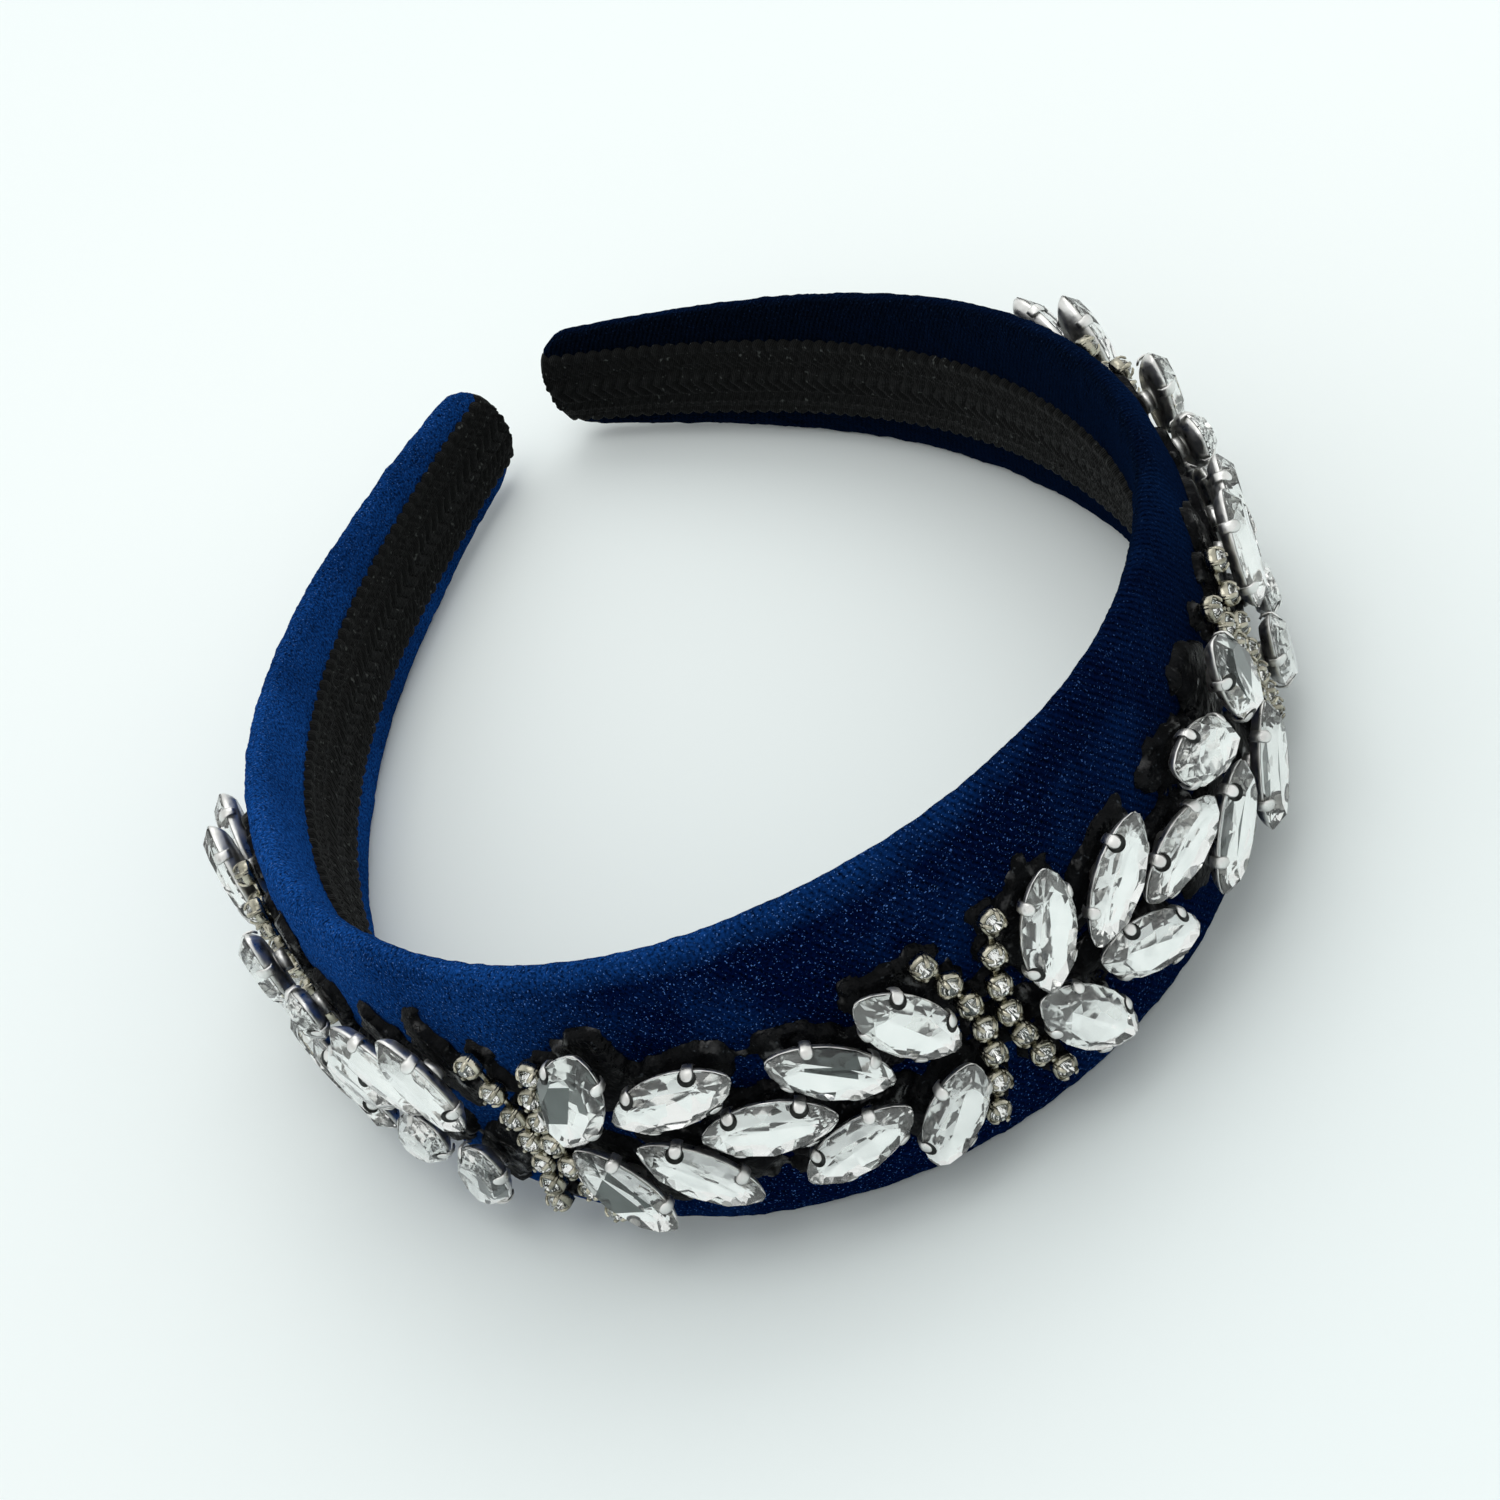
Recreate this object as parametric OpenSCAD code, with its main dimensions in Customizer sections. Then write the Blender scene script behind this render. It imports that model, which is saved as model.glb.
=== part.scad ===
// Padded velvet headband with crystal leaf sprays, braid lining and small bent stone chains.
// It lies on its side edge: the crown faces -Y, the two ends point to +Y, and Z is up.
// A place on the band is its run along the inner face from the middle of the crown,
// minus to the left, its depth outward of that face, and its height above the middle of it.

/* [Band plan] */
// Radius of the inner face at the crown
crown_radius = 47; // [43:0.5:52]
// Angle that each half of the crown turns through
crown_turn = 54.6; // [50:0.2:58]
// Radius of the inner face at the shoulders
shoulder_radius = 71; // [65:0.5:76]
// Angle that each shoulder turns through
shoulder_turn = 36.4; // [33:0.2:38]
// Radius of the inner face along the arms
arm_radius = 107; // [100:1:110]
// Angle that each arm turns through
arm_turn = 36.4; // [33:0.2:38]
// Radius of the inner face towards the ends
end_radius = 212; // [190:2:230]
// Angle that each end stretch turns through
end_turn = 10.1; // [8:0.1:11]

/* [Padding] */
// Height of the band across the crown, from edge to edge
crown_height = 42.8; // [40:0.2:48]
// Height of the band at each end
end_height = 15.6; // [14:0.2:18]
// Thickness of the padded band at the crown
crown_pad = 6; // [5:0.1:8]
// Thickness of the padded band at the ends
end_pad = 4.6; // [4:0.1:6]
// How square the rolled section is: 1 is an ellipse, less is squarer
roll = 0.77; // [0.65:0.01:0.9]
// Length over which each end is rounded off
end_round = 5; // [3:0.5:8]
// Share of the section that is left at the very end
end_share = 0.55; // [0.4:0.01:0.7]
// Play between pieces that lie on each other
play = 0.2; // [0.15:0.01:0.3]

/* [Lining] */
// Width of the braid at the crown
braid_crown = 16.4; // [12:0.2:20]
// Width of the braid at the ends
braid_end = 11.2; // [8:0.2:12]
// Thickness of the braid
braid_thick = 1; // [0.8:0.1:1.6]
// How far the braid stops short of the ends
braid_short = 2.5; // [2:0.25:2.5]

/* [Sprays] */
// Distance between two crossings of the small chains
pitch = 46.8; // [46:0.1:49]
// Run from the middle of the crown to the middle crossing
pattern_shift = 3.4; // [0:0.1:5]
// How far the sprays sit below the middle of the face
pattern_drop = 1.2; // [0:0.1:2]
// Thickness of the backing felt
felt_thick = 1; // [0.6:0.1:1.4]

/* [Leaf stones] */
// Length of a leaf stone
leaf_long = 13.8; // [12.5:0.1:14.2]
// Width of a leaf stone
leaf_wide = 6.4; // [5.6:0.1:6.8]
// Width of the two broad stones at the upper outer ends of the crown sprays
broad_wide = 7; // [6.4:0.1:7.2]
// Height of a stone above its girdle
stone_crown = 1.5; // [1:0.1:2]
// Depth of a stone below its girdle
stone_deep = 1.3; // [1:0.1:1.6]
// Share of the stone's outline that its flat table takes
table_share = 0.62; // [0.45:0.01:0.65]

/* [Claw settings] */
// Wall of a setting's cup
cup_wall = 0.35; // [0.3:0.05:0.5]
// Thickness of a claw
claw_wide = 0.9; // [0.7:0.05:1]
// How far a claw rises above the cup's rim
claw_rise = 0.8; // [0.5:0.1:1.2]
// Width of the foot that carries a setting
foot_wide = 2.6; // [2:0.1:3]

/* [Small chains] */
// Stones in one bent chain
chain_count = 7; // [6:1:7]
// Width of a small round stone
round_wide = 2.1; // [1.8:0.05:2.15]
// Width of a round stone's cup
round_cup = 2.7; // [2.6:0.05:2.8]
// Rise from one round stone to the next
round_step = 3.8; // [3.6:0.05:4]
// How far a chain's ends bend away from the crossing
chain_bend = 2.6; // [2:0.1:2.8]
// Clear distance between two chains where they cross nearest
chain_apart = 0.3; // [0.2:0.05:0.4]
// Thickness of the links between the cups
link_wide = 0.8; // [0.6:0.05:1]

/* [Hidden] */
// Each arc of the plan is its radius and the angle that it turns through.
arcs = [
    [crown_radius, crown_turn],
    [shoulder_radius, shoulder_turn],
    [arm_radius, arm_turn],
    [end_radius, end_turn]];
last_arc = len(arcs) - 1;
function arc_run(i) = arcs[i][0] * arcs[i][1] * PI / 180;
half_run = arc_run(0) + arc_run(1) + arc_run(2) + arc_run(3);

// Follows the arcs from the middle of the crown: X, Y and the direction faced after a run.
function walk(run, i = 0, x = 0, y = 0, facing = 0) =
    let (here = i == last_arc ? run : min(run, arc_run(i)),
         radius = arcs[i][0],
         bend = here / radius * 180 / PI,
         next_x = x + radius * (sin(facing + bend) - sin(facing)),
         next_y = y + radius * (cos(facing) - cos(facing + bend)))
    i == last_arc || run <= arc_run(i)
        ? [next_x, next_y, facing + bend]
        : walk(run - arc_run(i), i + 1, next_x, next_y, facing + bend);
// A cup reaches from a stone's girdle down past the stone and a small gap to its floor.
cup_floor = 0.4;
stone_gap = 0.12;
cup_drop = stone_deep + stone_gap + cup_floor;

// The plan is centred between the stones on the crown and the outer corners of the two ends.
end_place = walk(half_run);
end_corner = 0.75;
ends_reach = end_place[1] - cos(end_place[2]) * end_pad * end_corner;
common_foot = 1.15;
felt_top = felt_thick + 2 * play;
crown_reach = crown_pad + felt_top + common_foot + cup_drop + stone_crown;
plan_middle = (ends_reach - crown_reach) / 2;
function face_point(run) =
    let (w = walk(abs(run)), side = run < 0 ? -1 : 1)
    [side * w[0], w[1] - plan_middle, side * w[2]];

// Each row is a share of the run to the end, the height of the band there as a share of the
// crown height, and how far its lower edge lifts there as a share of the crown height.
height_col = 1;
lift_col = 2;
sections = [
    [0, 1, 0],
    [0.25, 0.9, 0.02],
    [0.5, 0.75, 0.01],
    [0.75, 0.55, 0],
    [1, end_height / crown_height, 0.03]];
last_section = len(sections) - 1;
function row_value(i, col) =
    i < 0 ? sections[-i][col]
    : i > last_section ? 2 * sections[last_section][col] - sections[last_section - 1][col]
    : sections[i][col];
// A smooth curve through one column of the table, level at the crown.
function section_value(run, col) =
    let (place = min(abs(run) / half_run, 1) * last_section,
         i = min(floor(place), last_section - 1),
         t = place - i,
         a = row_value(i - 1, col),
         b = row_value(i, col),
         c = row_value(i + 1, col),
         d = row_value(i + 2, col))
    b + t / 2 * (c - a + t * (2 * a - 5 * b + 4 * c - d + t * (3 * b - a - 3 * c + d)));
function half_height(run) = crown_height / 2 * section_value(run, height_col);
function middle_height(run) = half_height(run) + crown_height * section_value(run, lift_col);
function pad(run) = crown_pad + (end_pad - crown_pad) * pow(abs(run) / half_run, 2);
// How full the section is, 1 along the band and less where the end rounds off.
function fullness(run) =
    let (into = min(1, max(0, abs(run) - half_run + end_round) / end_round))
    1 - (1 - end_share) * (1 - sqrt(1 - into * into));
// The end rounds off in height and on its outer side, and its inner side stays flat.
function side_share(run, outer) = outer ? fullness(run) : -1;
function half_tall(run) = half_height(run) * fullness(run);

// The rolled section swells to half the pad on either side of its middle.
function swell(run, height) =
    let (s = pow(min(abs(height) / half_tall(run), 0.99), 1 / roll))
    pad(run) / 2 * pow(sqrt(1 - s * s), roll);
function face_depth(run, height, outer) =
    pad(run) / 2 + side_share(run, outer) * swell(run, height);
function on_band(run, depth, height) =
    let (p = face_point(run))
    [p[0] + sin(p[2]) * depth, p[1] - cos(p[2]) * depth, middle_height(run) + height];

// A solid through a row of rings with equally many points, which turn anticlockwise as
// seen from the first ring towards the last.
module loft(rings) {
    n = len(rings[0]);
    last = (len(rings) - 1) * n;
    polyhedron(
        points = [for (ring = rings) each ring],
        faces = concat(
            [for (i = [0:n:last - 1], k = [0:n - 1])
                let (a = i + k, b = i + (k + 1) % n)
                each [[a, b, a + n], [b, b + n, a + n]]],
            [[for (k = [n - 1:-1:0]) k], [for (k = [0:n - 1]) last + k]]),
        convexity = 10);
}

// The band is cut into rings, closer together where the end rounds off.
band_steps = 32;
ring_points = 20;
full_run = half_run - end_round;
half_runs = concat(
    [for (i = [0:band_steps]) full_run * i / band_steps],
    [for (turn = [30:20:90]) full_run + end_round * sin(turn)]);
function both_ways(runs) = concat([for (i = [len(runs) - 1:-1:1]) -runs[i]], runs);
function rolled(v) = pow(abs(v), roll);
function band_ring(run) = [for (k = [0:ring_points - 1])
    let (a = 360 * k / ring_points)
    on_band(run,
        pad(run) / 2 * (1 + side_share(run, cos(a) > 0) * rolled(cos(a))),
        half_tall(run) * sign(sin(a)) * rolled(sin(a)))];
module velvet_band() {
    color("#12246b") loft([for (run = both_ways(half_runs)) band_ring(run)]);
}

// One ring of a sheet that follows the outer or inner face between two heights.
// Near and far are how far its two sides lie outward of that face.
function sheet_ring(run, low, high, across, outer, near, far) =
    let (heights = [for (k = [0:across]) low + (high - low) * k / across])
    concat(
        [for (h = heights) on_band(run, face_depth(run, h, outer) + far, h)],
        [for (k = [across:-1:0])
            on_band(run, face_depth(run, heights[k], outer) + near, heights[k])]);

braid_steps = 25;
braid_across = 6;
braid_runs = concat(
    [for (i = [0:braid_steps]) full_run * i / braid_steps],
    [half_run - braid_short]);
function braid_half(run) = (braid_crown + (braid_end - braid_crown) * abs(run) / half_run) / 2;
module lining_braid() {
    color("#17171c") loft([for (run = both_ways(braid_runs))
        let (reach = braid_half(run))
        sheet_ring(run, -reach, reach, braid_across, false, -play - braid_thick, -play)]);
}

// Where two small chains cross nearest, counted in pitches from the middle crossing.
crossings = [-2.05, -0.96, 0, 1.02, 2.02];
function crossing_run(i) = pattern_shift + pitch * crossings[i];
first_crossing = crossing_run(0);
last_crossing = crossing_run(len(crossings) - 1);
// The line that the sprays follow keeps its share of the band's height.
function spray_axis(run) = -pattern_drop * half_height(run) / half_height(0);

// The felt's edge follows the stones: each row is a distance from the nearest crossing in
// pitches, and how far the felt reaches there from the spray's axis, in leaf lengths.
felt_edge = [
    [0, 0.95],
    [0.1, 1],
    [0.2, 0.98],
    [0.27, 0.82],
    [0.34, 0.78],
    [0.43, 0.78],
    [0.5, 0.6],
    [0.56, 0.36],
    [0.66, 0.22]];
function from_crossing(run) = min([for (i = [0:len(crossings) - 1]) abs(run - crossing_run(i))]);
// Where the band is low, the felt stops at this share of its half height.
felt_most = 0.88;
function felt_reach(run) =
    min(leaf_long * lookup(from_crossing(run) / pitch, felt_edge), felt_most * half_height(run));
felt_steps = 76;
felt_across = 8;
// The felt reaches past the middle of each end sprig's outermost stone by this many lengths.
felt_past = 0.56;
tip_reach = pitch / 2 + leaf_long * felt_past;
felt_start = first_crossing - tip_reach;
felt_end = last_crossing + tip_reach;
module backing_felt() {
    color("#101014") loft([for (i = [0:felt_steps])
        let (run = felt_start + (felt_end - felt_start) * i / felt_steps,
             axis = spray_axis(run),
             reach = felt_reach(run))
        sheet_ring(run, axis - reach, axis + reach, felt_across, true, play, play + felt_thick)]);
}

// Stands its children on the outer face, X along the band, Y up it and Z out of it.
probe = 0.1;
module on_face(run, height, rise) {
    slope = (face_depth(run, height + probe, true) - face_depth(run, height - probe, true)) / probe / 2;
    translate(on_band(run, face_depth(run, height, true) + rise, height))
        rotate([0, 0, face_point(run)[2]])
            rotate([90 + atan(slope), 0, 0])
                children();
}

// Each stone is its place along the band from the middle of its spray in pitches, its height
// above the spray's axis in leaf lengths, its turn, its nod and its lift off the felt.
along_col = 0;
across_col = 1;
turn_col = 2;
nod_col = 3;
rise_col = 4;
half_spray = [
    [0, 0, 0, 0, 0.5],
    [0.16, 0.4, -40, 3, 0.2],
    [0.15, -0.45, 35, -2, 0.3],
    [0.33, 0.54, -70, 3, 0.7],
    [0.33, -0.59, 60, -3, 0.5]];
function mirrored(row) = [-row[0], row[1], -row[2], -row[3], row[4]];
function mirrored_rows(first) = [for (i = [first:4]) mirrored(half_spray[i])];
whole_spray = concat(half_spray, mirrored_rows(1));
// The two sprays on the crown were laid by eye, so each has rows of its own.
left_crown_spray = [
    [0.02, 0, -5, 0, 0.5],
    [0.17, 0.34, -45, 3, 0.2],
    [0.15, -0.48, 25, -2, 0.3],
    [0.33, 0.46, -60, 3, 0.7],
    [0.33, -0.58, 55, -3, 0.5],
    [-0.12, 0.52, 15, 3, 0.3],
    [-0.15, -0.34, -45, -2, 0.2],
    [-0.31, 0.64, 65, 3, 0.7],
    [-0.32, -0.46, -60, -3, 0.5]];
right_crown_spray = [
    [-0.03, 0, 0, 0, 0.5],
    [0.13, 0.4, -30, 3, 0.2],
    [0.12, -0.4, 40, -2, 0.3],
    [0.31, 0.46, -75, 3, 0.7],
    [0.32, -0.56, 60, -3, 0.5],
    [-0.19, 0.34, 35, 3, 0.3],
    [-0.18, -0.42, -30, -2, 0.2],
    [-0.36, 0.48, 70, 3, 0.7],
    [-0.36, -0.5, -60, -3, 0.5]];

// Each spray is the run of its middle, its stones, and the place in it of a broad stone.
middle_col = 0;
stones_col = 1;
broad_col = 2;
none = -1;
function between(i) = (crossing_run(i) + crossing_run(i + 1)) / 2;
sprays = [
    [first_crossing - pitch / 2, half_spray, none],
    [between(0), whole_spray, none],
    [between(1), left_crown_spray, 7],
    [between(2), right_crown_spray, 3],
    [between(3), whole_spray, none],
    [last_crossing + pitch / 2, mirrored_rows(0), none]];
spray_names = ["left_sprig", "left_arm", "left_crown", "right_crown", "right_arm", "right_sprig"];

// Every stone is set by hand, so each sits a few degrees off its row. The two mixing
// angles scatter the sines, so that no two neighbours lean alike.
most_turn = 3;
turn_mix = 137;
most_sway = 4;
sway_mix = 211;
function stone_number(spray, stone) = 9 * spray + stone;
function hand_turn(spray, stone) = most_turn * sin(turn_mix * stone_number(spray, stone));
function hand_sway(spray, stone) = most_sway * cos(sway_mix * stone_number(spray, stone));

// Marquise outline with its long axis along X. A higher point power is a sharper tip.
outline_points = 12;
point_power = 1.5;
function outline(long, wide) = [for (k = [0:outline_points - 1])
    let (a = 360 * k / outline_points, s = sin(a))
    [long / 2 * cos(a), wide / 2 * sign(s) * pow(abs(s), point_power)]];
function level(points, z, long = 1, wide = 1) = [for (p = points) [p[0] * long, p[1] * wide, z]];
// Below its girdle a stone closes to a narrow keel, given as shares of its outline.
girdle = 0.2;
keel_long = 0.45;
keel_wide = 0.15;
module cut_stone(long, wide) {
    points = outline(long, wide);
    color("#dfe6ea") loft([
        level(points, stone_crown, table_share, table_share),
        level(points, girdle / 2),
        level(points, -girdle / 2),
        level(points, -stone_deep, keel_long, keel_wide)]);
}

// The cup stands from under the stone to a rim just above its girdle, with four claws.
rim = 0.15;
claw_place = 60;
module claw_setting(long, wide, foot) {
    outer = outline(long + 2 * (stone_gap + cup_wall), wide + 2 * (stone_gap + cup_wall));
    inner = outline(long + 2 * stone_gap, wide + 2 * stone_gap);
    claw_x = (long / 2 + stone_gap) * cos(claw_place);
    claw_y = wide / 2 * pow(sin(claw_place), point_power) + claw_wide / 2 + 2 * stone_gap;
    color("#b9bcc2") {
        difference() {
            translate([0, 0, -cup_drop]) linear_extrude(cup_drop + rim) polygon(outer);
            translate([0, 0, cup_floor - cup_drop]) linear_extrude(cup_drop + rim) polygon(inner);
        }
        for (x = [-claw_x, claw_x], y = [-claw_y, claw_y])
            translate([x, y, -cup_drop])
                cylinder(h = cup_drop + rim + claw_rise, d = claw_wide, $fn = 8);
        translate([0, 0, -cup_drop - foot]) cylinder(h = foot + cup_floor / 2, d = foot_wide, $fn = 12);
    }
}

// Puts its children at a stone's girdle, with X along the stone.
module at_stone(spray, stone) {
    row = sprays[spray][stones_col][stone];
    run = sprays[spray][middle_col] + pitch * row[along_col];
    height = spray_axis(run) + leaf_long * row[across_col];
    foot = foot_length(spray, stone);
    on_face(run, height, felt_top + foot + cup_drop)
        rotate([0, 0, row[turn_col] + hand_turn(spray, stone)])
            rotate([hand_sway(spray, stone), row[nod_col], 0])
                children();
}
function stone_wide(spray, stone) = sprays[spray][broad_col] == stone ? broad_wide : leaf_wide;
// A foot is long enough that a nodding or swaying cup clears the felt.
function foot_length(spray, stone) =
    let (row = sprays[spray][stones_col][stone])
    row[rise_col] + leaf_long / 2 * sin(abs(row[nod_col]))
        + stone_wide(spray, stone) / 2 * sin(abs(hand_sway(spray, stone)));

module leaf(spray, stone) {
    at_stone(spray, stone) cut_stone(leaf_long, stone_wide(spray, stone));
}
module sprig(spray) {
    for (stone = [0:len(sprays[spray][stones_col]) - 1]) leaf(spray, stone);
}
module settings(spray) {
    for (stone = [0:len(sprays[spray][stones_col]) - 1])
        at_stone(spray, stone)
            claw_setting(leaf_long, stone_wide(spray, stone), foot_length(spray, stone));
}

// A bent chain: small round stones in cups that short links join.
chain_rise = -1;
round_sides = 10;
round_floor = 0.35;
round_deep = 0.9;
round_crown = 0.65;
round_point = 0.15;
round_girdle = round_floor + stone_gap + round_deep;
link_sink = 0.1;
// How much longer a step along the band is on the felt than on the inner face.
function stretch(run) =
    let (depth = pad(run) + felt_top)
    norm(on_band(run + probe, depth, 0) - on_band(run - probe, depth, 0)) / probe / 2;
function round_run(crossing, side, k) =
    let (q = 2 * k / (chain_count - 1) - 1, middle = crossing_run(crossing))
    middle + side * (chain_apart / 2 + round_cup / 2 + chain_bend * q * q) / stretch(middle);
function round_height(crossing, k) =
    spray_axis(crossing_run(crossing)) + chain_rise + (k - (chain_count - 1) / 2) * round_step;
function circle_points(wide) = [for (k = [0:round_sides - 1])
    let (a = 360 * k / round_sides) [wide / 2 * cos(a), wide / 2 * sin(a)]];
module round_stone() {
    points = circle_points(round_wide);
    color("#dfe6ea") loft([
        level(points, round_crown, table_share, table_share),
        level(points, 0),
        level(points, -round_deep, round_point, round_point)]);
}
module round_setting() {
    difference() {
        cylinder(h = round_girdle + rim, d = round_cup, $fn = round_sides);
        translate([0, 0, round_floor])
            cylinder(h = round_girdle + rim, d = round_wide + 2 * stone_gap, $fn = round_sides);
    }
}
module rod(from, to, wide) {
    way = to - from;
    translate(from)
        rotate([0, acos(way[2] / norm(way)), atan2(way[1], way[0])])
            cylinder(h = norm(way), d = wide, $fn = 8);
}
// A point in the floor of a cup, where the links meet it.
function link_point(crossing, side, k) =
    let (run = round_run(crossing, side, k), height = round_height(crossing, k))
    on_band(run, face_depth(run, height, true) + felt_top + link_wide / 2, height);
function toward(a, b, far) = a + (b - a) * far / norm(b - a);
module small_chain(crossing, side) {
    for (k = [0:chain_count - 1])
        on_face(round_run(crossing, side, k), round_height(crossing, k), felt_top) {
            color("#c9c4b4") round_setting();
            translate([0, 0, round_girdle]) round_stone();
        }
    color("#c9c4b4") for (k = [0:chain_count - 2]) {
        a = link_point(crossing, side, k);
        b = link_point(crossing, side, k + 1);
        edge = round_cup / 2 - link_sink;
        rod(toward(a, b, edge), toward(b, a, edge), link_wide);
    }
}

chain_sides = [-1, 1];
full_sprays = [1, 2, 3, 4];
function leaf_name(spray, stone) = str(spray_names[spray], "_leaf_", stone + 1);
function settings_name(spray) = str(spray_names[spray], "_settings");
function chain_name(crossing, side) = str("chain_", 2 * crossing + (side + 1) / 2 + 1);

velvet_band();
lining_braid();
backing_felt();
sprig(0);  // left_sprig
sprig(5);  // right_sprig
for (spray = full_sprays, stone = [0:8])
    leaf(spray, stone);
for (spray = [0:5])
    settings(spray);
for (crossing = [0:4], side = chain_sides)
    small_chain(crossing, side);
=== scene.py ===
import math

import bpy
import numpy as np
from mathutils import Matrix, Vector


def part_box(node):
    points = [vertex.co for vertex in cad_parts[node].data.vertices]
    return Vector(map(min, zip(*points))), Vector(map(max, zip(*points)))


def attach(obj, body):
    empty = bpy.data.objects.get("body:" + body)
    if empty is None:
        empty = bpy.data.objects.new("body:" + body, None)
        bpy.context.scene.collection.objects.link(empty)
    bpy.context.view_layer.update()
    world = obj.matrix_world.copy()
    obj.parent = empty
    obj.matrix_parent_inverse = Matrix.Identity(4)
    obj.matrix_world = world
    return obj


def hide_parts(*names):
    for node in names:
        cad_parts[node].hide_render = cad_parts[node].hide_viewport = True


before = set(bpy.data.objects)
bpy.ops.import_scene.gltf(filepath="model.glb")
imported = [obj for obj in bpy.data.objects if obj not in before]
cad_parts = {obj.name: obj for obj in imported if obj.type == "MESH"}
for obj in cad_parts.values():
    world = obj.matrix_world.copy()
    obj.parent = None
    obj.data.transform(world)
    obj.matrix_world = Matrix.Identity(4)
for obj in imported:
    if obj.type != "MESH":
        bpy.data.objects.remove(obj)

mm = 0.001
scene = bpy.context.scene
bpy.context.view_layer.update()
print("frame loaded with", len(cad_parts), "nodes")


# the camera keeps the photo's place relative to the band, so the picture is rolled as the photo is
eye = dict(
    place=(-20.1, -340.2, 273.8),
    right=(0.8593, -0.3491, -0.3738),
    up=(0.5094, 0.5192, 0.6862),
    lens=86.03,
    sensor=36)
lens = bpy.data.cameras.new("camera")
lens.lens = eye["lens"]
lens.sensor_width = eye["sensor"]
lens.clip_start = 0.01
camera = bpy.data.objects.new("camera", lens)
rightWay = Vector(eye["right"]).normalized()
upWay = Vector(eye["up"])
upWay = (upWay - upWay.dot(rightWay) * rightWay).normalized()
backWay = rightWay.cross(upWay)
camera.matrix_world = Matrix.LocRotScale(
    Vector(eye["place"]) * mm,
    Matrix((rightWay, upWay, backWay)).transposed(),
    None)
scene.collection.objects.link(camera)
scene.camera = camera


# the band's plan and section, in millimetres, as the frame was built
band = dict(
    arcs=((47, 54.6), (71, 36.4), (107, 36.4), (212, 10.1)),   # radius, turn in degrees
    crownHeight=42.8,
    crownPad=6,
    endPad=4.6,
    roll=0.77,
    endRound=5,
    endShare=0.55,
    heights=(1, 0.9, 0.75, 0.55, 15.6 / 42.8),
    lifts=(0, 0.02, 0.01, 0, 0.03))
halfRun = sum(radius * math.radians(turn) for radius, turn in band["arcs"])
planMiddle = -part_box("velvet_band")[0].y / mm - band["crownPad"]


def walkAlong(run):
    left = np.abs(run)
    x = np.zeros_like(left)
    y = np.zeros_like(left)
    facing = np.zeros_like(left)
    for radius, turn in band["arcs"]:
        last = radius == band["arcs"][-1][0]
        here = left if last else np.minimum(left, radius * math.radians(turn))
        bend = here / radius
        x = x + radius * (np.sin(facing + bend) - np.sin(facing))
        y = y + radius * (np.cos(facing) - np.cos(facing + bend))
        facing = facing + bend
        left = left - here
    return x, y, facing


def sectionValue(run, column):
    # a smooth curve through one column of the section table, level at the crown
    rows = np.array(band[column], float)
    last = len(rows) - 1
    rows = np.concatenate([[rows[1]], rows, [2 * rows[last] - rows[last - 1]]])
    place = np.minimum(np.abs(run) / halfRun, 1) * last
    i = np.minimum(place.astype(int), last - 1)
    t = place - i
    a, b, c, d = rows[i], rows[i + 1], rows[i + 2], rows[i + 3]
    return b + t / 2 * (c - a + t * (2 * a - 5 * b + 4 * c - d + t * (3 * b - a - 3 * c + d)))


def halfHeight(run):
    return band["crownHeight"] / 2 * sectionValue(run, "heights")


def middleHeight(run):
    return halfHeight(run) + band["crownHeight"] * sectionValue(run, "lifts")


def padAt(run):
    return band["crownPad"] + (band["endPad"] - band["crownPad"]) * (np.abs(run) / halfRun) ** 2


def fullness(run):
    into = np.clip((np.abs(run) - halfRun + band["endRound"]) / band["endRound"], 0, 1)
    return 1 - (1 - band["endShare"]) * (1 - np.sqrt(1 - into * into))


def faceDepth(run, height, outer):
    share = np.minimum(np.abs(height) / (halfHeight(run) * fullness(run)), 0.99) ** (1 / band["roll"])
    swell = padAt(run) / 2 * np.sqrt(1 - share * share) ** band["roll"]
    side = fullness(run) if outer else -1
    return padAt(run) / 2 + side * swell


def onBand(run, depth, height):
    x, y, facing = walkAlong(run)
    side = np.where(run < 0, -1.0, 1.0)
    return np.stack([
        side * (x + np.sin(facing) * depth),
        y - planMiddle - np.cos(facing) * depth,
        middleHeight(run) + height], axis=-1)


def softNoise(shape, passes, seed):
    field = np.random.default_rng(seed).standard_normal(shape)
    for _ in range(passes):
        field = (field + np.roll(field, 1, 0) + np.roll(field, -1, 0)
                 + np.roll(field, 1, 1) + np.roll(field, -1, 1)) / 5
    return field / field.std()


def gridNormals(points, closed):
    if closed:
        across = np.roll(points, -1, 1) - np.roll(points, 1, 1)
    else:
        across = np.gradient(points, axis=1)
    along = np.gradient(points, axis=0)
    normals = np.cross(along, across)
    return normals / np.maximum(np.linalg.norm(normals, axis=-1, keepdims=True), 1e-9)


def gridFaces(rows, columns, closed):
    i, k = np.meshgrid(np.arange(rows - 1), np.arange(columns if closed else columns - 1), indexing="ij")
    n = (k + 1) % columns
    faces = np.stack([i * columns + k, (i + 1) * columns + k, (i + 1) * columns + n, i * columns + n], -1)
    return faces.reshape(-1, 4)


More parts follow.
